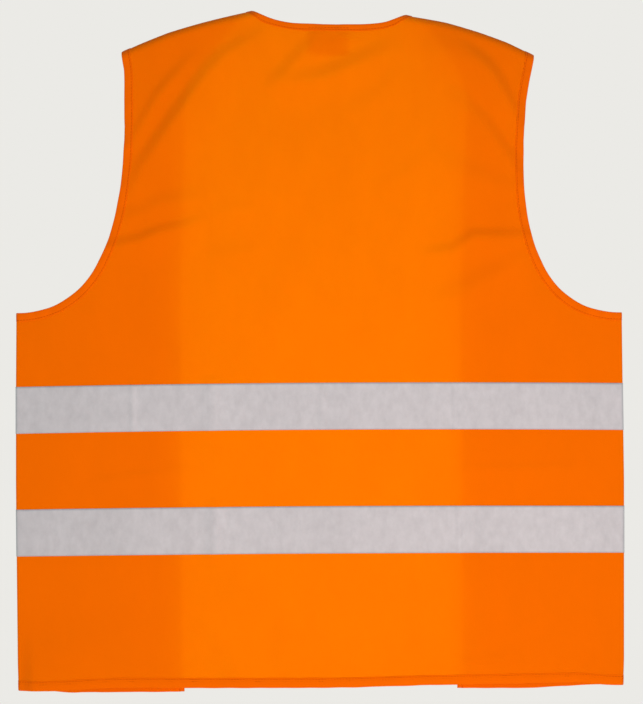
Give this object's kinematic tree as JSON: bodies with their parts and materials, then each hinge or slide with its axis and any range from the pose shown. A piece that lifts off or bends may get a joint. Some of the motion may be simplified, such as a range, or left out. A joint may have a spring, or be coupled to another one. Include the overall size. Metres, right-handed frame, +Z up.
{
  "type": "high visibility vest",
  "caption": "Sleeveless fluorescent orange safety vest with two horizontal silver reflective bands, bound edges, an open front and hook-and-loop closures.",
  "frame": {"origin": "midway between the two neck points at their own height, on the centre plane, where a hanger's hook rises", "axes": "+Z up, -Y towards the wearer's front, +X towards the wearer's left"},
  "size_m": [0.642, 0.042, 0.721],
  "materials": {
    "cloth": "fluorescent orange polyester knit, semi-matte",
    "binding": "folded polyester binding tape, ribbed, semi-matte",
    "reflective_tape": "silver glass-bead retroreflective tape on a fabric back",
    "hook_patch": "orange nylon hook tape",
    "loop_patch": "orange brushed loop tape",
    "label": "white satin label"
  },
  "bodies": {
    "back": {"back_panel": "cloth", "left_shoulder_panel": "cloth", "right_shoulder_panel": "cloth", "back_neck_binding": "binding", "left_neck_binding": "binding", "right_neck_binding": "binding", "left_back_armhole_binding": "binding", "right_back_armhole_binding": "binding", "left_front_armhole_binding": "binding", "right_front_armhole_binding": "binding", "back_hem_binding": "binding", "upper_back_tape": "reflective_tape", "lower_back_tape": "reflective_tape"},
    "left_front": {"left_front_panel": "cloth", "left_front_edge_binding": "binding", "left_front_hem_binding": "binding", "left_upper_front_tape": "reflective_tape", "left_lower_front_tape": "reflective_tape", "left_upper_hook_patch": "hook_patch", "left_lower_hook_patch": "hook_patch"},
    "right_front": {"right_front_panel": "cloth", "right_front_edge_binding": "binding", "right_front_hem_binding": "binding", "right_upper_front_tape": "reflective_tape", "right_lower_front_tape": "reflective_tape", "right_upper_loop_patch": "loop_patch", "right_lower_loop_patch": "loop_patch"},
    "neck_labels": {"size_label": "label", "care_label": "label"}
  },
  "joints": [
    {"name": "left_front_open", "type": "hinge", "parent": "back", "child": "left_front", "pos_m": [0.321, 0, -0.5], "axis": [0, 0, 1], "range_deg": [0, 70]},
    {"name": "right_front_open", "type": "hinge", "parent": "back", "child": "right_front", "pos_m": [-0.321, 0, -0.5], "axis": [0, 0, -1], "range_deg": [0, 70]},
    {"name": "neck_label_flip", "type": "hinge", "parent": "back", "child": "neck_labels", "pos_m": [0, 0.018, -0.021], "axis": [-1, 0, 0], "range_deg": [0, 150]}
  ]
}
